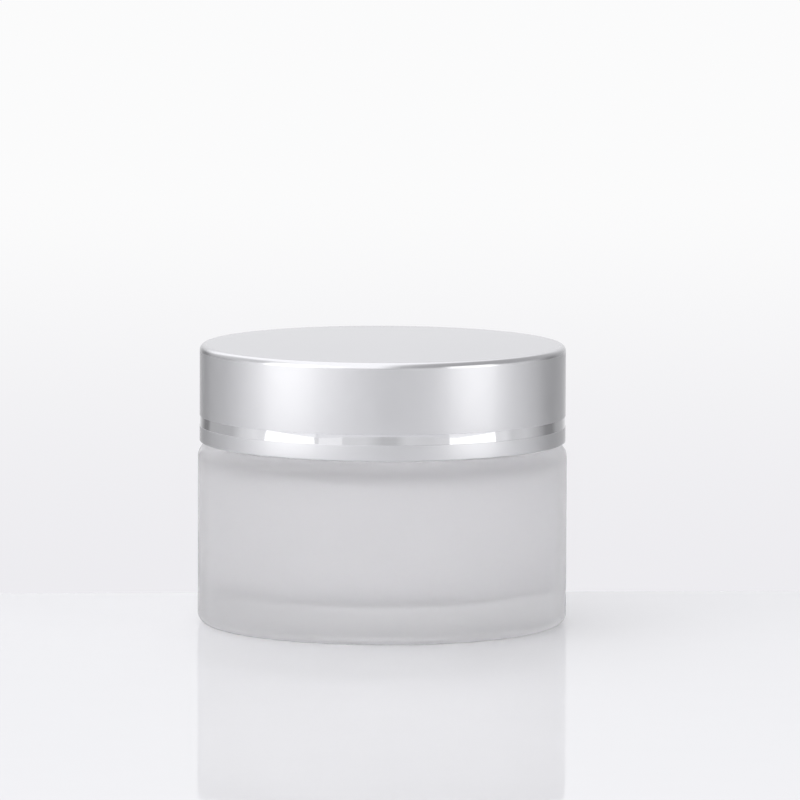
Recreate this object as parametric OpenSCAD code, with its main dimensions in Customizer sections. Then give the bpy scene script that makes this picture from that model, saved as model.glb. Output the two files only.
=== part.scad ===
// Cosmetic cream jar: a frosted glass jar with a heavy base and a screw lid.
// The lid is an aluminium shell over a plastic cap with a two-start thread,
// and it holds a round liner. A plastic disc plugs the mouth below it.
// Millimetres, +Z up, origin at the centre of the jar's foot.

/* [Jar] */
// Diameter of the glass
jar_d = 62; // [60:0.5:68]
// Height from the foot to the top of the closed lid
total_h = 47; // [45:0.5:54]
// Thickness of the glass under the cavity
base_t = 6.0; // [5:0.2:9]
// Thickness of the glass in the side
wall_t = 3.7; // [3.2:0.1:5]
// Thickness of the glass in the shoulder
shoulder_t = 2.8; // [2.6:0.1:5]
// Thickness of the glass in the neck
neck_t = 3.4; // [2.6:0.1:4]
// Radius of the edge between side and foot
heel_r = 1.8; // [1:0.1:2.4]
// Radius of the edge between side and shoulder
shoulder_r = 2.2; // [1:0.1:2.2]
// Depth of the hollow under the foot
pushup_h = 1.2; // [0.6:0.1:1.6]

/* [Lid] */
// Height of the lid
lid_h = 16.25; // [16:0.25:18]
// How far the lid's side stands in from the jar's side
lid_inset = 0.25; // [0.1:0.05:0.5]
// Gap between the lid's lower edge and the shoulder
lid_gap = 0.35; // [0.2:0.05:0.6]
// Thickness of the aluminium
shell_t = 0.45; // [0.35:0.05:0.6]
// Radius of the lid's upper edge
lid_edge_r = 1.0; // [0.7:0.1:1.5]
// Height of the polished band
band_h = 1.75; // [1:0.25:3]
// Height of the polished band above the lid's lower edge
band_rise = 2.6; // [1.5:0.1:5]

/* [Thread] */
// Number of thread starts
thread_starts = 2; // [1:1:2]
// Rise in one full turn
thread_lead = 8; // [7:0.5:8]
// Length of each ridge, in turns
thread_turns = 0.75; // [0.5:0.05:0.75]
// Depth of the glass thread
thread_depth = 1.3; // [1:0.1:1.3]

/* [Disc and liner] */
// Thickness of the disc's flange
flange_t = 1.0; // [0.8:0.1:1.2]
// Depth of the disc's plug below the rim
plug_h = 2.5; // [2.2:0.1:3.5]
// Thickness of the liner
liner_t = 1.0; // [0.6:0.1:1]

/* [Hidden] */
$fn = 96;

fit_gap = 0.05;      // between parts that meet
overlap = 0.4;       // how deep an added shape reaches into its wall
run_gap = 0.3;       // between the glass thread's crest and the cap's skirt
jar_r = jar_d / 2;

// The lid, from its lower edge up and from its side in
lid_r = jar_r - lid_inset;
lid_z = total_h - lid_h;
shell_in_r = lid_r - shell_t;
band_depth = 0.06;
edge_chamfer = 0.12;
cap_r = shell_in_r - fit_gap;
cap_recess = 0.1;    // how far the cap's foot stays above the shell's edge
cap_z = lid_z + cap_recess;
cap_top = total_h - shell_t - fit_gap;
plate_t = 1.2;
plate_z = cap_top - plate_t;
rib_depth = 0.75;
rib_w = 0.8;
rib_count = 24;
skirt_r = cap_r - rib_depth;
skirt_t = 1.2;
skirt_in_r = skirt_r - skirt_t;
cap_foot_h = 1.0;    // height of the ring at the foot of the cap

// The liner and the ring in the cap that holds it up
liner_r = skirt_in_r - run_gap;
liner_z = plate_z - fit_gap - liner_t;
liner_play = 0.1;
bead_depth = 0.7;
bead_h = 0.4;
bead_z = liner_z - liner_play - bead_h;

// The glass above the shoulder
shoulder_z = lid_z - lid_gap;
crest_r = skirt_in_r - run_gap;
neck_r = crest_r - thread_depth;
mouth_r = neck_r - neck_t;
disc_top = liner_z - fit_gap;
rim_z = disc_top - flange_t;
rim_edge_r = 0.6;

// The cavity is wider than the mouth
cavity_r = jar_r - wall_t;
cavity_top = shoulder_z - shoulder_t;
floor_edge_r = 3;
lip_edge_r = 1.2;    // where the cavity's ceiling meets the mouth
ceiling_flat = 0.1;  // least width of the ceiling between its two rounded edges
ceiling_edge_r = min(2.4, cavity_r - mouth_r - lip_edge_r - ceiling_flat);
foot_ring_w = 4;     // flat width of the ring that the jar stands on
foot_in_r = jar_r - heel_r - foot_ring_w;
pushup_slope = 2;    // width of the slope between the foot's ring and its hollow

// The plastic disc
disc_inset = 0.4;    // how far the flange stays inside the neck's outside
disc_r = neck_r - disc_inset;
plug_gap = 0.25;
plug_r = mouth_r - plug_gap;
plug_t = 0.85;
disc_floor_t = 0.8;
plug_z = rim_z - plug_h;
disc_edge_r = 0.3;
grip_l = 16;
grip_t = 1.4;
grip_recess = 0.3;   // how far the grip stays below the flange's top
grip_h = disc_top - plug_z - disc_floor_t - grip_recess;

// Threads: ridge widths at root and crest, and where the ridges start
jar_ridge_w = [2.2, 0.9];
cap_ridge_w = [2.0, 0.8];
cap_ridge_depth = 1.1;
cap_ridge_drop = 1.45;  // how far the cap's ridge sits under the jar's
step_angle = 5;
run_out = 25;           // angle over which a ridge ends sink into the wall
jar_ridge_rise = 4;     // height of the ridge's start above the shoulder
jar_ridge_z = shoulder_z + jar_ridge_rise;
cap_ridge_z = jar_ridge_z - cap_ridge_drop;

// The square corner that is cut away to leave a round edge of radius r.
// It lies in the quadrant that dir points to, with its tip at the origin.
module corner_cut(r, dir) {
    side = r + 1;
    difference() {
        translate([dir.x > 0 ? -r : -1, dir.y > 0 ? -r : -1]) square(side);
        translate([-dir.x * r, -dir.y * r]) circle(r);
    }
}

// A turned ring or disc between two radii and two heights
module ring(r0, r1, z0, z1) {
    translate([r0, z0]) square([r1 - r0, z1 - z0]);
}

// How far along its taper a ridge is at a given angle: 0 at its ends, 1 between them
function swell(angle, total) = min(1, angle / run_out, (total - angle) / run_out);

// The four corners of a ridge's section at an angle. side is 1 for a ridge that
// stands outwards from the wall and -1 for one that stands inwards.
function ridge_section(angle, total, wall_r, depth, w, side, z0) =
    let(
        z = z0 + thread_lead * angle / 360,
        root = wall_r - side * overlap,
        crest = wall_r + side * (swell(angle, total) * (depth + overlap / 2) - overlap / 2),
        turn = function(r, h) [r * cos(angle), r * sin(angle), z + h]
    )
    [turn(root, -w[0] / 2), turn(crest, -w[1] / 2), turn(crest, w[1] / 2), turn(root, w[0] / 2)];

// One helical ridge, swept as a closed skin of triangles
module helical_ridge(wall_r, depth, w, side, z0) {
    total = 360 * thread_turns;
    steps = ceil(total / step_angle);
    points = [
        for (i = [0:steps]) each ridge_section(total * i / steps, total, wall_r, depth, w, side, z0)
    ];
    sides = [
        for (i = [0:steps - 1], k = [0:3])
            let(a = 4 * i + k, b = 4 * i + (k + 1) % 4)
            each [[a, a + 4, b], [b, a + 4, b + 4]]
    ];
    last = 4 * steps;
    ends = [[0, 1, 2], [0, 2, 3], [last, last + 2, last + 1], [last, last + 3, last + 2]];
    skin = concat(sides, ends);
    polyhedron(points, side < 0 ? skin : [for (f = skin) [f[0], f[2], f[1]]]);
}

// All the ridges of one thread
module thread(wall_r, depth, w, side, z0) {
    for (i = [0:thread_starts - 1])
        rotate(360 / thread_starts * i) helical_ridge(wall_r, depth, w, side, z0);
}

// Section of the cavity: a wide body with rounded corners, and the narrower mouth above it
module cavity_section() {
    difference() {
        ring(0, cavity_r, base_t, cavity_top);
        translate([cavity_r, base_t]) corner_cut(floor_edge_r, [1, -1]);
        translate([cavity_r, cavity_top]) corner_cut(ceiling_edge_r, [1, 1]);
    }
    ring(0, mouth_r, cavity_top - 1, rim_z + 1);
    translate([mouth_r, cavity_top]) corner_cut(lip_edge_r, [-1, -1]);
}

// Section of the shallow hollow under the foot
module pushup_section() {
    polygon([[0, -1], [foot_in_r, -1], [foot_in_r, 0], [foot_in_r - pushup_slope, pushup_h], [0, pushup_h]]);
}

// The glass: body, neck and thread
module glass_jar() {
    color([0.86, 0.88, 0.88, 0.7]) {
        rotate_extrude() difference() {
            union() {
                ring(0, jar_r, 0, shoulder_z);
                ring(0, neck_r, 0, rim_z);
            }
            translate([jar_r, 0]) corner_cut(heel_r, [1, -1]);
            translate([jar_r, shoulder_z]) corner_cut(shoulder_r, [1, 1]);
            translate([neck_r, rim_z]) corner_cut(rim_edge_r, [1, 1]);
            translate([mouth_r, rim_z]) corner_cut(rim_edge_r, [-1, 1]);
            cavity_section();
            pushup_section();
        }
        thread(neck_r, thread_depth, jar_ridge_w, 1, jar_ridge_z);
    }
}

// The disc that plugs the mouth: a flange on the rim, a dish below it and a grip across the dish
module sealing_disc() {
    grip_z = plug_z + disc_floor_t;
    arc_r = (grip_l * grip_l / 4 + grip_h * grip_h) / (2 * grip_h);
    color([0.96, 0.96, 0.95]) union() {
        rotate_extrude() difference() {
            union() {
                ring(plug_r - plug_t, disc_r, rim_z, disc_top);
                ring(plug_r - plug_t, plug_r, plug_z, disc_top);
                ring(0, plug_r, plug_z, grip_z);
            }
            translate([disc_r, disc_top]) corner_cut(disc_edge_r, [1, 1]);
            translate([plug_r, plug_z]) corner_cut(disc_edge_r, [1, -1]);
        }
        rotate([90, 0, 0]) translate([0, 0, -grip_t / 2]) linear_extrude(grip_t) intersection() {
            translate([0, grip_z + grip_h - arc_r]) circle(arc_r);
            translate([-grip_l / 2, grip_z - overlap]) square([grip_l, grip_h + overlap]);
        }
    }
}

// The round liner inside the top of the cap
module liner() {
    color([0.97, 0.97, 0.97]) translate([0, 0, liner_z]) cylinder(h = liner_t, r = liner_r);
}

// Section of the cap: plate, threaded skirt, ring at its foot and the ring that holds the liner
module cap_section() {
    difference() {
        ring(0, cap_r - rib_depth, cap_z, cap_top);
        ring(0, skirt_in_r, cap_z - 1, plate_z);
    }
    difference() {
        ring(skirt_in_r, cap_r, cap_z, cap_z + cap_foot_h);
        translate([cap_r, cap_z]) corner_cut(edge_chamfer, [1, -1]);
    }
    ring(skirt_in_r - bead_depth, skirt_r, bead_z, bead_z + bead_h);
}

// The threaded plastic cap, with ribs that centre it in the shell
module inner_cap() {
    color([0.95, 0.95, 0.94]) union() {
        rotate_extrude() cap_section();
        thread(skirt_in_r, cap_ridge_depth, cap_ridge_w, -1, cap_ridge_z);
        for (i = [0:rib_count - 1])
            rotate(360 / rib_count * i)
                translate([skirt_r - overlap, -rib_w / 2, cap_z + cap_foot_h / 2])
                    cube([rib_depth + overlap - fit_gap, rib_w, plate_z - cap_z]);
    }
}

// The aluminium shell, with the shallow groove of its polished band
module outer_shell() {
    band_z = lid_z + band_rise;
    color([0.80, 0.80, 0.82]) rotate_extrude() difference() {
        ring(0, lid_r, lid_z, total_h);
        translate([lid_r, total_h]) corner_cut(lid_edge_r, [1, 1]);
        difference() {
            ring(0, shell_in_r, lid_z - 1, total_h - shell_t);
            translate([shell_in_r, total_h - shell_t]) corner_cut(lid_edge_r - shell_t, [1, 1]);
        }
        ring(lid_r - band_depth, lid_r + 1, band_z, band_z + band_h);
    }
}

glass_jar();
sealing_disc();
liner();
inner_cap();
outer_shell();
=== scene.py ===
"""A frosted glass cream jar with a satin aluminium screw lid: its looks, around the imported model.

Sections are drawn in millimetres as (radius, height) and turned about the jar's axis.
The camera looks along +Y. Azimuths are measured from the side that faces the camera,
and are positive towards +X.
"""
from math import acos, atan2, ceil, cos, degrees, hypot, pi, radians, sin, tan
import bpy
import numpy as np
from mathutils import Matrix, Vector

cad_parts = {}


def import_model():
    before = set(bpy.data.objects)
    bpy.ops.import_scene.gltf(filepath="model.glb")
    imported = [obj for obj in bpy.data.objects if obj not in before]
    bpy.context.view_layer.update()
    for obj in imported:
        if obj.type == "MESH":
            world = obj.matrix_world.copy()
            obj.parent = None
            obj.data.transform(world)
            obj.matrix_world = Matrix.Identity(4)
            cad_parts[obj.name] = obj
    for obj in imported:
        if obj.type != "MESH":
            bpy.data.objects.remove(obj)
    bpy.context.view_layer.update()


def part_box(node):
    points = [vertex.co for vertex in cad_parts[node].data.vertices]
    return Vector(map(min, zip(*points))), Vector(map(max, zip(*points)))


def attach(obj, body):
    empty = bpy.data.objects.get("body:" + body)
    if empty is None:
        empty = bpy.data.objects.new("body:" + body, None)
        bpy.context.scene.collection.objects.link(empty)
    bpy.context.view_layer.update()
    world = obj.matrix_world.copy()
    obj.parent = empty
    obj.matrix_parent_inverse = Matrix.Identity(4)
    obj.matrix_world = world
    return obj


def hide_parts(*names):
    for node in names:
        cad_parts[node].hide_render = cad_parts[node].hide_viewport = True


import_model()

MM = 0.001

# ---------------------------------------------------------------- sizes, in mm


def reach(node):
    """Radius, lowest height and greatest height of a turned CAD node."""
    low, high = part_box(node)
    return high.x / MM, low.z / MM, high.z / MM


JAR_R, _, RIM_Z = reach("glass_jar")
LID_R, LID_Z, LID_TOP = reach("outer_shell")
CAP_R, CAP_Z, CAP_TOP = reach("inner_cap")
LINER_R, LINER_Z, LINER_TOP = reach("liner")
DISC_R, PLUG_Z, DISC_TOP = reach("sealing_disc")

# Glass
LID_GAP = 0.35          # between the lid and the shoulder
SHOULDER_Z = LID_Z - LID_GAP
SHOULDER_R = 2.2
SHOULDER_T = 2.8
HEEL_R = 1.8
BASE_T = 6.0
WALL_T = 3.7
CAVITY_R = JAR_R - WALL_T
CAVITY_TOP = SHOULDER_Z - SHOULDER_T
FLOOR_EDGE_R = 3.0
CEILING_EDGE_R = 2.4
LIP_EDGE_R = 1.2        # where the cavity's ceiling meets the mouth
RIM_EDGE_R = 0.6
NECK_FOOT_R = 0.8       # where the neck meets the shoulder
FOOT_RING_W = 4
FOOT_IN_R = JAR_R - HEEL_R - FOOT_RING_W
FOOT_EDGE_R = 0.8
HOLLOW_H = 1.2          # the hollow under the foot
HOLLOW_SLOPE = 2
HOLLOW_EDGE_R = 2.5

# Shell
SHELL_T = 0.45
LID_EDGE_R = 1.0
BAND_Z = LID_Z + 2.6
BAND_H = 1.75
BAND_DEPTH = 0.06
BAND_EDGE_R = 0.02
HEM_OUT_R = 0.15        # the shell's lower edge, outside and inside
HEM_IN_R = 0.08

# Cap
RIBS = 24
RIB_W = 0.8
RIB_DEPTH = 0.75
RIB_ROOT = 0.4          # how deep a rib reaches into the skirt
RIB_INSET = 0.05        # how far the ribs stay inside the foot ring
RIB_EDGE_R = 0.15
SKIRT_R = CAP_R - RIB_DEPTH
SKIRT_T = 1.2
SKIRT_IN_R = SKIRT_R - SKIRT_T
PLATE_T = 1.2
PLATE_Z = CAP_TOP - PLATE_T
CAP_RING_H = 1.0        # the ring at the cap's foot
CAP_RING_LOW_R = 0.12   # its lower edge, its upper edge and its root
CAP_RING_HIGH_R = 0.15
CAP_RING_ROOT_R = 0.2
CAP_TOP_EDGE_R = 0.3
CAP_FOOT_IN_R = 0.3
CAP_CORNER_R = 0.25     # inside, where the skirt meets the plate
BEAD_DEPTH = 0.7        # the bead that holds the liner
BEAD_H = 0.4
BEAD_EDGE_R = 0.12
LINER_EDGE_R = 0.2
LINER_PLAY = 0.1        # between the liner and the bead
BEAD_Z = LINER_Z - LINER_PLAY - BEAD_H

# Neck and thread
RUN_GAP = 0.3           # between the jar's thread and the cap's skirt
JAR_THREAD_DEPTH = 1.3
NECK_R = SKIRT_IN_R - RUN_GAP - JAR_THREAD_DEPTH
NECK_T = 3.4
MOUTH_R = NECK_R - NECK_T
THREAD_STARTS = 2
THREAD_LEAD = 8
THREAD_SPAN = 270       # degrees
THREAD_RUN_OUT = 25     # degrees
JAR_THREAD = {"first_z": SHOULDER_Z + 4, "root_w": 2.2, "crest_w": 0.9, "depth": JAR_THREAD_DEPTH}
CAP_THREAD = {"first_z": SHOULDER_Z + 2.55, "root_w": 2.0, "crest_w": 0.8, "depth": -1.1}

# Disc
PLUG_GAP = 0.25         # between the plug and the mouth
PLUG_R = MOUTH_R - PLUG_GAP
PLUG_T = 0.85
DISH_T = 0.8
DISH_Z = PLUG_Z + DISH_T
PLUG_EDGE_R = 0.3
FLANGE_ROOT_R = 0.1     # where the plug meets the flange
FLANGE_LOW_R = 0.15     # the flange's lower and upper edges
FLANGE_HIGH_R = 0.3
DISH_BRIM_R = 0.25
DISH_FLOOR_R = 0.4
GRIP_L = 16
GRIP_T = 1.4
GRIP_SUNK = 0.3         # how far the grip stays below the flange
GRIP_TOP = DISC_TOP - GRIP_SUNK
GRIP_ROOT = 0.3         # how deep the grip reaches into the dish
GRIP_EDGE_R = 0.3
GRIP_STEPS = 24         # faces along the grip's arch

SEGMENTS = 240          # round the axis
ARC_STEP = 12           # degrees of a rounded corner to one face
THREAD_ROW = 0.15       # height of one face on a threaded wall
SMOOTH_BELOW = 35       # degrees: sharper edges stay sharp
SAME = 1e-6             # sizes nearer than this are one size
NEAR_WALL = 0.05        # a face nearer than this to a wall belongs to it

# ---------------------------------------------------------------- sections and meshes


def rounded(corners):
    """A section's outline from its corners (r, z) or (r, z, radius), with each radius drawn as an arc."""
    outline = []
    for i, corner in enumerate(corners):
        here = Vector(corner[:2])
        if len(corner) < 3:
            outline.append(tuple(here))
            continue
        back = (Vector(corners[i - 1][:2]) - here).normalized()
        ahead = (Vector(corners[i + 1][:2]) - here).normalized()
        half = acos(max(-1, min(1, back.dot(ahead)))) / 2
        centre = here + (back + ahead).normalized() * corner[2] / sin(half)
        start = here + back * corner[2] / tan(half) - centre
        end = here + ahead * corner[2] / tan(half) - centre
        first = atan2(start.y, start.x)
        turn = (atan2(end.y, end.x) - first + pi) % (2 * pi) - pi
        steps = max(2, ceil(abs(degrees(turn)) / ARC_STEP))
        for k in range(steps + 1):
            angle = first + turn * k / steps
            outline.append((centre.x + corner[2] * cos(angle), centre.y + corner[2] * sin(angle)))
    return outline


def with_rows(outline, wall_r):
    """The outline with the straight wall at that radius cut into short rows, for a thread."""
    rows = [outline[0]]
    for (r0, z0), (r1, z1) in zip(outline, outline[1:]):
        on_wall = abs(r0 - wall_r) < SAME and abs(r1 - wall_r) < SAME
        steps = ceil(abs(z1 - z0) / THREAD_ROW) if on_wall else 1
        rows += [(r0 + (r1 - r0) * k / steps, z0 + (z1 - z0) * k / steps) for k in range(1, steps + 1)]
    return rows


def ease(x):
    """0 below 0, 1 above 1, and smooth between."""
    x = np.clip(x, 0, 1)
    return x * x * (3 - 2 * x)


def thread_relief(thread, angle, z):
    """How far the thread pushes its wall out, in mm, at angles in degrees and heights.
    It is negative for a thread that stands inward."""
    rise = np.zeros(np.broadcast(angle, z).shape)
    for start in range(THREAD_STARTS):
        along = (angle - 360 / THREAD_STARTS * start) % 360
        swell = ease(np.minimum(along, THREAD_SPAN - along) / THREAD_RUN_OUT)
        off = np.abs(z - thread["first_z"] - THREAD_LEAD * along / 360)
        flank = ease((thread["root_w"] / 2 - off) / ((thread["root_w"] - thread["crest_w"]) / 2))
        rise = np.maximum(rise, swell * flank)
    return rise * thread["depth"]


def mesh_object(name, points, faces):
    """A smooth-shaded object from points in mm."""
    mesh = bpy.data.meshes.new(name)
    mesh.from_pydata((np.asarray(points, float) * MM).tolist(), [], faces)
    mesh.validate()
    mesh.polygons.foreach_set("use_smooth", [True] * len(mesh.polygons))
    mesh.set_sharp_from_angle(angle=radians(SMOOTH_BELOW))
    piece = bpy.data.objects.new(name, mesh)
    bpy.context.scene.collection.objects.link(piece)
    return piece


def turned(name, outline, thread=None, wall_r=None):
    """A solid turned from an outline that runs from the axis to the axis."""
    if thread:
        outline = with_rows(outline, wall_r)
    angle = np.arange(SEGMENTS) * 360 / SEGMENTS
    points = []
    rings = []
    for r, z in outline:
        if r < SAME:
            rings.append([len(points)] * SEGMENTS)
            points.append((0, 0, z))
            continue
        rings.append(list(range(len(points), len(points) + SEGMENTS)))
        radius = np.full(SEGMENTS, float(r))
        if thread and abs(r - wall_r) < SAME:
            radius += thread_relief(thread, angle, z)
        turn = np.radians(angle)
        points += list(zip(radius * np.cos(turn), radius * np.sin(turn), [z] * SEGMENTS))
    faces = []
    for low, high in zip(rings, rings[1:]):
        for j in range(SEGMENTS):
            k = (j + 1) % SEGMENTS
            corners = [low[j], low[k], high[k], high[j]]
            faces.append(tuple(dict.fromkeys(corners)))
    return mesh_object(name, points, faces)


def joined(name, parts):
    """One object from several meshes, each of which stays closed."""
    points = []
    faces = []
    for part in parts:
        first = len(points)
        points += [v.co / MM for v in part.data.vertices]
        faces += [tuple(first + i for i in face.vertices) for face in part.data.polygons]
        mesh = part.data
        bpy.data.objects.remove(part)
        bpy.data.meshes.remove(mesh)
    return mesh_object(name, points, faces)


def bevelled(name, outline, thickness, bevel, steps=3):
    """A plate with that outline in the XZ plane, centred on Y, with rounded edges."""
    count = len(outline)
    half = thickness / 2
    points = [(x, side * half, z) for side in (-1, 1) for x, z in outline]
    faces = [tuple(range(count)), tuple(reversed(range(count, 2 * count)))]
    for i in range(count):
        k = (i + 1) % count
        faces.append((k, i, i + count, k + count))
    plate = mesh_object(name, points, faces)
    edge = plate.modifiers.new("edge", "BEVEL")
    edge.width = bevel * MM
    edge.segments = steps
    edge.limit_method = "ANGLE"
    edge.angle_limit = radians(SMOOTH_BELOW)
    mesh = bpy.data.meshes.new_from_object(plate.evaluated_get(bpy.context.evaluated_depsgraph_get()))
    plate.modifiers.clear()
    plate.data = mesh
    return plate


# ---------------------------------------------------------------- materials


def material(name, **values):
    """A material with a Principled shader, and values for its sockets."""
    made = bpy.data.materials.new(name)
    made.use_nodes = True
    shader = made.node_tree.nodes["Principled BSDF"]
    for socket, value in values.items():
        shader.inputs[socket.replace("_", " ")].default_value = value
    return made, made.node_tree, shader


def add(tree, kind, inputs=None, **settings):
    """A node with its settings, and its inputs linked or set."""
    node = tree.nodes.new(kind)
    for key, value in settings.items():
        setattr(node, key, value)
    for key, value in (inputs or {}).items():
        if isinstance(value, bpy.types.NodeSocket):
            tree.links.new(value, node.inputs[key])
        else:
            node.inputs[key].default_value = value
    return node


def object_place(tree):
    """The place on the object, in metres."""
    return tree.nodes.new("ShaderNodeTexCoord").outputs["Object"]


def grain(tree, size, detail=2):
    """Noise whose grains are about that many mm across."""
    where = object_place(tree)
    noise = add(tree, "ShaderNodeTexNoise", {"Vector": where, "Scale": 1 / (size * MM), "Detail": detail})
    return noise.outputs["Fac"]


def spread(tree, value, low, high):
    """The value, from 0.3 to 0.7 as noise mostly is, mapped to low..high."""
    node = add(tree, "ShaderNodeMapRange", {"Value": value, "From Min": 0.3, "From Max": 0.7,
                                            "To Min": low, "To Max": high})
    return node.outputs["Result"]


def tint(tree, value, low, high):
    """A colour that goes from low to high as the value goes from 0 to 1."""
    node = add(tree, "ShaderNodeMix", {"Factor": value}, data_type="RGBA")
    node.inputs["A"].default_value = (*low, 1)
    node.inputs["B"].default_value = (*high, 1)
    return node.outputs["Result"]


def bump(tree, shader, height, depth):
    """Relief on the surface, depth mm high."""
    node = add(tree, "ShaderNodeBump", {"Height": height, "Distance": depth * MM})
    tree.links.new(node.outputs["Normal"], shader.inputs["Normal"])


def frosted_glass():
    """Acid-frosted outside of the glass."""
    made, tree, shader = material("frosted_glass", IOR=1.5, Transmission_Weight=1.0)
    mottle = grain(tree, 1.6, detail=3)
    colour = tint(tree, mottle, (0.989, 0.988, 0.991), (0.998, 0.997, 0.999))
    tree.links.new(colour, shader.inputs["Base Color"])
    tree.links.new(spread(tree, mottle, 0.56, 0.62), shader.inputs["Roughness"])
    bump(tree, shader, grain(tree, 0.12), 0.004)
    return made


def frosted_inside():
    """Frosted inside of the glass, rougher than the outside."""
    made, tree, shader = material("frosted_inside", IOR=1.5, Transmission_Weight=1.0)
    shader.inputs["Base Color"].default_value = (0.997, 0.993, 0.998, 1)
    wave = grain(tree, 9, detail=1)
    tree.links.new(spread(tree, wave, 0.82, 0.88), shader.inputs["Roughness"])
    bump(tree, shader, wave, 0.02)
    return made


# The darkest and the lightest tone of aluminium without its anodised layer
BARE_METAL = (0.70, 0.70, 0.714), (0.73, 0.73, 0.744)


def satin_aluminium():
    """Blasted aluminium under its clear anodised layer."""
    made, tree, shader = material("satin_aluminium", Metallic=1.0, Coat_Weight=0.5, Coat_Roughness=0.07)
    mottle = grain(tree, 2.5, detail=4)
    colour = tint(tree, mottle, (0.648, 0.648, 0.661), (0.674, 0.674, 0.687))
    tree.links.new(colour, shader.inputs["Base Color"])
    tree.links.new(spread(tree, mottle, 0.38, 0.42), shader.inputs["Roughness"])
    bump(tree, shader, grain(tree, 0.09, detail=3), 0.003)
    return made


def bright_cut_aluminium():
    """The band that is turned bright after anodising."""
    made, tree, shader = material("bright_cut_aluminium", Metallic=1.0)
    mottle = grain(tree, 1.5)
    tree.links.new(tint(tree, mottle, *BARE_METAL), shader.inputs["Base Color"])
    tree.links.new(spread(tree, mottle, 0.04, 0.07), shader.inputs["Roughness"])
    return made


def burnished_aluminium():
    """The lid's upper edge, smoother than its sides."""
    made, tree, shader = material("burnished_aluminium", Metallic=1.0)
    mottle = grain(tree, 1.0)
    tree.links.new(tint(tree, mottle, *BARE_METAL), shader.inputs["Base Color"])
    tree.links.new(spread(tree, mottle, 0.16, 0.20), shader.inputs["Roughness"])
    return made


def white_plastic(name):
    """Moulded polypropylene with a faint texture."""
    made, tree, shader = material(name)
    mottle = grain(tree, 3)
    colour = (0.93, 0.93, 0.925)
    dark = [c * 0.97 for c in colour]
    tree.links.new(tint(tree, mottle, dark, colour), shader.inputs["Base Color"])
    tree.links.new(spread(tree, mottle, 0.31, 0.39), shader.inputs["Roughness"])
    bump(tree, shader, grain(tree, 0.15), 0.004)
    return made


def foam_sheet():
    """Closed-cell foam sheet with its fine skin."""
    made, tree, shader = material("foam_sheet")
    cells = add(tree, "ShaderNodeTexVoronoi", {"Vector": object_place(tree), "Scale": 1 / (0.35 * MM)})
    height = cells.outputs["Distance"]
    tree.links.new(tint(tree, height, (0.92, 0.92, 0.915), (0.87, 0.87, 0.86)), shader.inputs["Base Color"])
    tree.links.new(spread(tree, grain(tree, 2), 0.7, 0.85), shader.inputs["Roughness"])
    bump(tree, shader, height, 0.03)
    return made


# ---------------------------------------------------------------- pieces


def place(piece, body, node, slot, *materials):
    """Gives a piece its materials and its body, and hides the CAD node it stands for. The slot is not used.
    """
    for made in materials:
        piece.data.materials.append(made)
    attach(piece, body)
    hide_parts(node)


def paint(piece, index, test):
    """Gives the piece's material of that index to the faces whose centre (r, z), in mm, passes the test."""
    for face in piece.data.polygons:
        centre = face.center / MM
        if test(hypot(centre.x, centre.y), centre.z):
            face.material_index = index


def in_hollow(r, z):
    """Whether a point of the glass is on a wall of its cavity or its mouth."""
    in_cavity = r < CAVITY_R + NEAR_WALL and BASE_T - NEAR_WALL < z < CAVITY_TOP + NEAR_WALL
    in_mouth = r < MOUTH_R + NEAR_WALL and z > CAVITY_TOP
    return in_cavity or in_mouth


def glass_jar():
    """The glass: heavy base, side wall, shoulder and threaded neck, round a cavity and its mouth."""
    outline = rounded([
        (0, HOLLOW_H),
        (FOOT_IN_R - HOLLOW_SLOPE, HOLLOW_H, HOLLOW_EDGE_R),
        (FOOT_IN_R, 0, FOOT_EDGE_R),
        (JAR_R, 0, HEEL_R),
        (JAR_R, SHOULDER_Z, SHOULDER_R),
        (NECK_R, SHOULDER_Z, NECK_FOOT_R),
        (NECK_R, RIM_Z, RIM_EDGE_R),
        (MOUTH_R, RIM_Z, RIM_EDGE_R),
        (MOUTH_R, CAVITY_TOP, LIP_EDGE_R),
        (CAVITY_R, CAVITY_TOP, CEILING_EDGE_R),
        (CAVITY_R, BASE_T, FLOOR_EDGE_R),
        (0, BASE_T),
    ])
    piece = turned("jar_glass", outline, JAR_THREAD, NECK_R)
    place(piece, "jar", "glass_jar", "frosted_glass", frosted_glass(), frosted_inside())
    paint(piece, 1, in_hollow)


def sealing_disc():
    """The plastic disc that plugs the mouth, with an arched grip across its dish."""
    outline = rounded([
        (0, PLUG_Z),
        (PLUG_R, PLUG_Z, PLUG_EDGE_R),
        (PLUG_R, RIM_Z, FLANGE_ROOT_R),
        (DISC_R, RIM_Z, FLANGE_LOW_R),
        (DISC_R, DISC_TOP, FLANGE_HIGH_R),
        (PLUG_R - PLUG_T, DISC_TOP, DISH_BRIM_R),
        (PLUG_R - PLUG_T, DISH_Z, DISH_FLOOR_R),
        (0, DISH_Z),
    ])
    dish = turned("disc_dish", outline)
    grip_rise = GRIP_TOP - DISH_Z
    arc_r = (GRIP_L * GRIP_L / 4 + grip_rise * grip_rise) / (2 * grip_rise)
    sweep = atan2(GRIP_L / 2, arc_r - grip_rise)
    arch = [(arc_r * sin(sweep * t), GRIP_TOP - arc_r + arc_r * cos(sweep * t))
            for t in (1 - 2 * k / GRIP_STEPS for k in range(GRIP_STEPS + 1))]
    foot = DISH_Z - GRIP_ROOT
    grip = bevelled("disc_grip", [(-GRIP_L / 2, foot), (GRIP_L / 2, foot), *arch], GRIP_T, GRIP_EDGE_R)
    piece = joined("sealing_disc_plastic", [dish, grip])
    place(piece, "disc", "sealing_disc", "disc_plastic", white_plastic("disc_plastic"))


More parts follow.
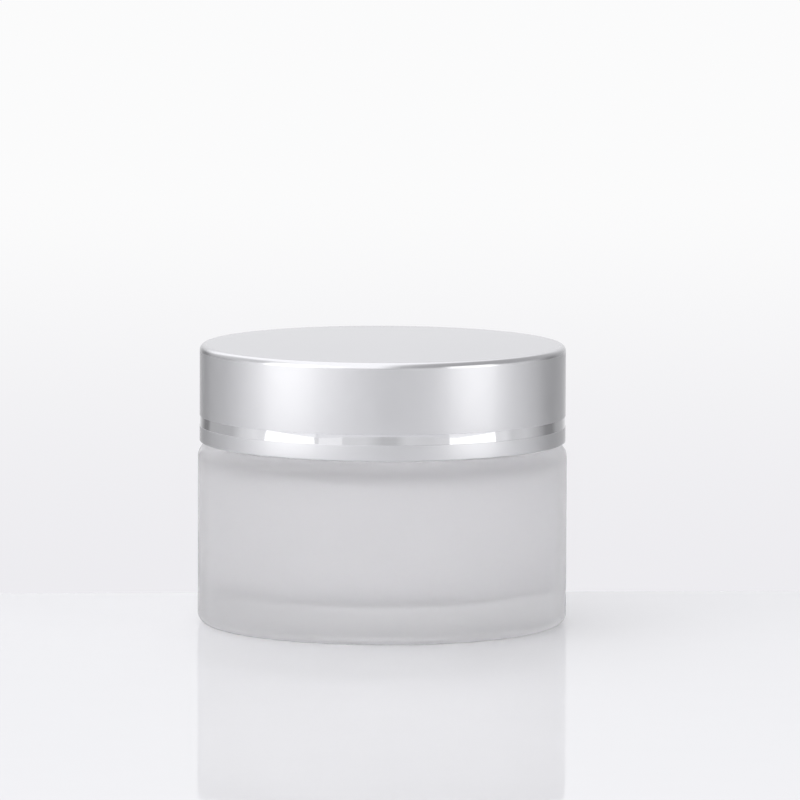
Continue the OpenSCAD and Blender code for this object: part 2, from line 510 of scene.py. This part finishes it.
def liner():
    """The foam disc in the lid that seals on the rim."""
    outline = rounded([
        (0, LINER_Z),
        (LINER_R, LINER_Z, LINER_EDGE_R),
        (LINER_R, LINER_TOP, LINER_EDGE_R),
        (0, LINER_TOP),
    ])
    piece = turned("liner_foam_disc", outline)
    place(piece, "lid_liner", "liner", "liner_foam", foam_sheet())


def inner_cap():
    """The threaded plastic cap in the lid, with ribs that centre it in the shell."""
    outline = rounded([
        (0, PLATE_Z),
        (SKIRT_IN_R, PLATE_Z, CAP_CORNER_R),
        (SKIRT_IN_R, BEAD_Z + BEAD_H),
        (SKIRT_IN_R - BEAD_DEPTH, BEAD_Z + BEAD_H, BEAD_EDGE_R),
        (SKIRT_IN_R - BEAD_DEPTH, BEAD_Z, BEAD_EDGE_R),
        (SKIRT_IN_R, BEAD_Z),
        (SKIRT_IN_R, CAP_Z, CAP_FOOT_IN_R),
        (CAP_R, CAP_Z, CAP_RING_LOW_R),
        (CAP_R, CAP_Z + CAP_RING_H, CAP_RING_HIGH_R),
        (SKIRT_R, CAP_Z + CAP_RING_H, CAP_RING_ROOT_R),
        (SKIRT_R, CAP_TOP, CAP_TOP_EDGE_R),
        (0, CAP_TOP),
    ])
    skirt = turned("cap_skirt", outline, CAP_THREAD, SKIRT_IN_R)
    ribs = []
    low = CAP_Z + CAP_RING_H / 2
    high = PLATE_Z + CAP_RING_H / 2
    near = SKIRT_R - RIB_ROOT
    far = CAP_R - RIB_INSET
    for k in range(RIBS):
        side = [(near, low), (far, low), (far, high), (near, high)]
        rib = bevelled("cap_rib", side, RIB_W, RIB_EDGE_R, steps=2)
        c = cos(2 * pi * k / RIBS)
        s = sin(2 * pi * k / RIBS)
        for v in rib.data.vertices:
            v.co.x, v.co.y = v.co.x * c - v.co.y * s, v.co.x * s + v.co.y * c
        ribs.append(rib)
    piece = joined("inner_cap_plastic", [skirt, *ribs])
    place(piece, "lid", "inner_cap", "cap_plastic", white_plastic("cap_plastic"))


def on_band(r, z):
    """Whether a point of the shell is on the floor of its groove."""
    return r > LID_R - SHELL_T / 2 and BAND_Z < z < BAND_Z + BAND_H


def on_edge(r, z):
    """Whether a point of the shell is on the outside of its rounded upper edge."""
    out = r - LID_R + LID_EDGE_R
    up = z - LID_TOP + LID_EDGE_R
    return out > 0 and up > 0 and hypot(out, up) > LID_EDGE_R - SHELL_T / 2


def outer_shell():
    """The lid's aluminium shell, with a shallow groove for its bright band."""
    groove_r = LID_R - BAND_DEPTH
    outline = rounded([
        (0, LID_TOP - SHELL_T),
        (LID_R - SHELL_T, LID_TOP - SHELL_T, LID_EDGE_R - SHELL_T),
        (LID_R - SHELL_T, LID_Z, HEM_IN_R),
        (LID_R, LID_Z, HEM_OUT_R),
        (LID_R, BAND_Z, BAND_EDGE_R),
        (groove_r, BAND_Z, BAND_EDGE_R),
        (groove_r, BAND_Z + BAND_H, BAND_EDGE_R),
        (LID_R, BAND_Z + BAND_H, BAND_EDGE_R),
        (LID_R, LID_TOP, LID_EDGE_R),
        (0, LID_TOP),
    ])
    piece = turned("lid_shell", outline)
    place(piece, "lid", "outer_shell", "anodised_shell", satin_aluminium(), bright_cut_aluminium(),
          burnished_aluminium())
    paint(piece, 1, on_band)
    paint(piece, 2, on_edge)


# ---------------------------------------------------------------- stage, lights and camera

# Metres from here on
BOARD_BACK = 0.038      # the board ends just behind the jar
BOARD_FRONT = -0.22
BOARD_HALF_W = 0.20
BOARD_T = 0.003
BOARD_TURN = 3          # degrees, for its back edge is not quite square to the view
GROUND_R = 6
GROUND_SIDES = 128
GROUND_NEAR = 0.03, (0.845, 0.838, 0.868, 1)    # distance and colour where the ground's painted glow begins to pale
GROUND_FAR = 0.9, (0.965, 0.965, 0.968, 1)

SOFTBOX_AWAY = 0.6
SOFTBOX_AIM = Vector((0, 0, 0.03))

CAMERA_LENS = 432
CAMERA_SENSOR = 36      # both in mm
CAMERA_AT = (0.00291, -1.603, 0.2160)
CAMERA_DOWN = 6.352     # degrees below level
CAMERA_ROLL = 0.22      # degrees
CAMERA_SEES = 20

GLASS_BOUNCES = 32      # light crosses many frosted faces
OTHER_BOUNCES = 12


def direction(azimuth, elevation):
    """A unit vector, from angles in degrees."""
    flat = cos(radians(elevation))
    return Vector((sin(radians(azimuth)) * flat, -cos(radians(azimuth)) * flat, sin(radians(elevation))))


def board():
    """The glossy white board that the jar stands on."""
    bpy.ops.mesh.primitive_cube_add(size=1)
    piece = bpy.context.object
    piece.name = "stage_board"
    piece.scale = (2 * BOARD_HALF_W, BOARD_BACK - BOARD_FRONT, BOARD_T)
    piece.rotation_euler = (0, 0, radians(BOARD_TURN))
    middle = Vector((0, (BOARD_BACK + BOARD_FRONT) / 2, -BOARD_T / 2))
    piece.location = piece.rotation_euler.to_matrix() @ middle
    made, tree, shader = material("board_lacquer", Coat_Weight=0.75, Coat_Roughness=0.03, Roughness=0.5,
                                  Specular_IOR_Level=0.0)
    colour = tint(tree, grain(tree, 30), (0.882, 0.882, 0.897), (0.892, 0.892, 0.907))
    tree.links.new(colour, shader.inputs["Base Color"])
    piece.data.materials.append(made)


def ground():
    """The pale ground far around the board. It glows with painted light, which grows paler with distance.
    """
    bpy.ops.mesh.primitive_circle_add(vertices=GROUND_SIDES, radius=GROUND_R, fill_type="NGON",
                                      location=(0, 0, -2 * BOARD_T))
    piece = bpy.context.object
    piece.name = "stage_ground"
    made = bpy.data.materials.new("ground_painted_glow")
    made.use_nodes = True
    made.cycles.emission_sampling = "NONE"
    tree = made.node_tree
    tree.nodes.clear()
    away = add(tree, "ShaderNodeVectorMath", {0: object_place(tree)}, operation="LENGTH")
    ramp = add(tree, "ShaderNodeValToRGB", {"Fac": away.outputs["Value"]})
    for element, (place_on_ramp, colour) in zip(ramp.color_ramp.elements, (GROUND_NEAR, GROUND_FAR)):
        element.position = place_on_ramp
        element.color = colour
    ramp.color_ramp.interpolation = "EASE"
    # painted light: the ground glows instead of being lit, and is paler further away
    glow = add(tree, "ShaderNodeEmission", {"Color": ramp.outputs["Color"]})
    out = tree.nodes.new("ShaderNodeOutputMaterial")
    tree.links.new(glow.outputs[0], out.inputs["Surface"])
    piece.data.materials.append(made)
    piece.visible_glossy = False
    piece.visible_shadow = False


# Brightness of the room near the horizon, by azimuth in degrees
ROOM = [
    # from behind to the dark flag behind at the left
    (-180, 0.69), (-169, 0.60), (-162, 0.42), (-156, 0.30), (-151, 0.20), (-144, 0.22),
    # the left side
    (-139, 0.40), (-110, 0.46), (-100, 0.66), (-88, 0.80), (-42, 0.74), (-22, 0.70), (-10, 0.68),
    # the front, a little darker where the camera stands
    (0, 0.52), (8, 0.52), (15, 0.66),
    # the right side
    (30, 0.64), (40, 0.72), (72, 0.76), (84, 0.76), (90, 0.60), (102, 0.60), (116, 0.42),
    # from the dark flag behind at the right to behind
    (126, 0.24), (135, 0.22), (142, 0.34), (156, 0.42), (163, 0.54), (171, 0.64), (180, 0.69),
]
# Brightness overhead, by how far a unit direction leans to the right and a little to the camera
SKY = [(-1.0, 0.55), (-0.78, 0.6), (-0.55, 1.05), (0.05, 1.05), (0.24, 0.50), (0.45, 0.40), (1.0, 0.37)]
SKY_LEAN = (1.0, -0.1, 0.0)
SKY_RISE = (0.1, 0.35)      # where the room gives way to the sky, as the height of a unit direction
HAZE = (0.80, 0.95)         # where the sky gives way to haze, as how far a unit direction leans away
HAZE_LEVEL = 0.66
COOL = 1.02                 # blue over red
ROOM_STRENGTH = 1.27
BACKDROP_LEVEL = 0.965      # what the camera itself sees of the room


def levels(tree, value, stops):
    """Grey that follows the value through those stops, slightly cool."""
    low = stops[0][0]
    high = stops[-1][0]
    share = add(tree, "ShaderNodeMapRange", {"Value": value, "From Min": low, "From Max": high})
    ramp = add(tree, "ShaderNodeValToRGB", {"Fac": share.outputs["Result"]})
    elements = ramp.color_ramp.elements
    for _ in stops[1:-1]:
        elements.new(0.5)
    for element, (at, level) in zip(elements, stops):
        element.position = (at - low) / (high - low)
        element.color = (level, level, level * COOL, 1)
    return ramp.outputs["Color"]


def blend(tree, value, bounds, near, far):
    """A colour that turns from near to far as the value crosses the bounds."""
    share = add(tree, "ShaderNodeMapRange", {"Value": value, "From Min": bounds[0], "From Max": bounds[1]})
    node = add(tree, "ShaderNodeMix", {"Factor": share.outputs["Result"]}, data_type="RGBA")
    for socket, colour in (("A", near), ("B", far)):
        if isinstance(colour, bpy.types.NodeSocket):
            tree.links.new(colour, node.inputs[socket])
        else:
            node.inputs[socket].default_value = colour
    return node.outputs["Result"]


def world():
    """The studio around: a room with dark flags behind at both sides, a sky that is bright from overhead
    to half-way down on the left and darker elsewhere, and pale haze behind. The camera itself sees an
    even backdrop."""
    made = bpy.data.worlds.new("studio")
    bpy.context.scene.world = made
    made.use_nodes = True
    tree = made.node_tree
    tree.nodes.clear()
    view = tree.nodes.new("ShaderNodeTexCoord").outputs["Generated"]
    toward = add(tree, "ShaderNodeSeparateXYZ", {"Vector": view}).outputs
    lean = add(tree, "ShaderNodeVectorMath", {0: view, 1: SKY_LEAN}, operation="DOT_PRODUCT")
    toward_camera = add(tree, "ShaderNodeMath", {0: toward["Y"], 1: -1}, operation="MULTIPLY")
    around = add(tree, "ShaderNodeMath", {0: toward["X"], 1: toward_camera.outputs[0]}, operation="ARCTAN2")
    azimuth = add(tree, "ShaderNodeMath", {0: around.outputs[0]}, operation="DEGREES")
    haze = (HAZE_LEVEL, HAZE_LEVEL, HAZE_LEVEL * COOL, 1)
    sky = blend(tree, toward["Y"], HAZE, levels(tree, lean.outputs["Value"], SKY), haze)
    lit = blend(tree, toward["Z"], SKY_RISE, levels(tree, azimuth.outputs[0], ROOM), sky)
    paths = tree.nodes.new("ShaderNodeLightPath")
    backdrop = BACKDROP_LEVEL / ROOM_STRENGTH
    seen = blend(tree, paths.outputs["Is Camera Ray"], (0, 1), lit, (backdrop, backdrop, backdrop, 1))
    back = add(tree, "ShaderNodeBackground", {"Color": seen, "Strength": ROOM_STRENGTH})
    out = tree.nodes.new("ShaderNodeOutputWorld")
    tree.links.new(back.outputs[0], out.inputs["Surface"])


def softbox(name, azimuth, elevation, width, height, power):
    """A soft rectangular light that faces the middle of the jar."""
    data = bpy.data.lights.new(name, "AREA")
    data.shape = "RECTANGLE"
    data.size = width
    data.size_y = height
    data.energy = power
    light = bpy.data.objects.new(name, data)
    bpy.context.scene.collection.objects.link(light)
    light.location = SOFTBOX_AIM + direction(azimuth, elevation) * SOFTBOX_AWAY
    light.rotation_euler = (SOFTBOX_AIM - light.location).to_track_quat("-Z", "Y").to_euler()
    light.visible_camera = False


def lights():
    softbox("softbox_left", azimuth=-60, elevation=15, width=0.40, height=0.65, power=0.68)
    softbox("softbox_right", azimuth=58, elevation=5, width=0.35, height=0.52, power=0.53)
    softbox("reflector_left", azimuth=-32, elevation=8, width=0.16, height=0.70, power=0.08)


def camera():
    """Far back and a little above, as the photograph was taken."""
    data = bpy.data.cameras.new("camera")
    data.sensor_width = CAMERA_SENSOR
    data.lens = CAMERA_LENS
    data.clip_end = CAMERA_SEES
    seen_from = bpy.data.objects.new("camera", data)
    bpy.context.scene.collection.objects.link(seen_from)
    seen_from.location = CAMERA_AT
    pitch = Matrix.Rotation(radians(90 - CAMERA_DOWN), 3, "X")
    roll = Matrix.Rotation(radians(CAMERA_ROLL), 3, "Z")
    seen_from.rotation_euler = (pitch @ roll).to_euler()
    bpy.context.scene.camera = seen_from


scene = bpy.context.scene
scene.view_settings.view_transform = "Standard"
scene.cycles.max_bounces = GLASS_BOUNCES
scene.cycles.transmission_bounces = GLASS_BOUNCES
scene.cycles.glossy_bounces = OTHER_BOUNCES
scene.cycles.diffuse_bounces = OTHER_BOUNCES
camera()
world()
lights()
board()
ground()
glass_jar()
sealing_disc()
liner()
inner_cap()
outer_shell()
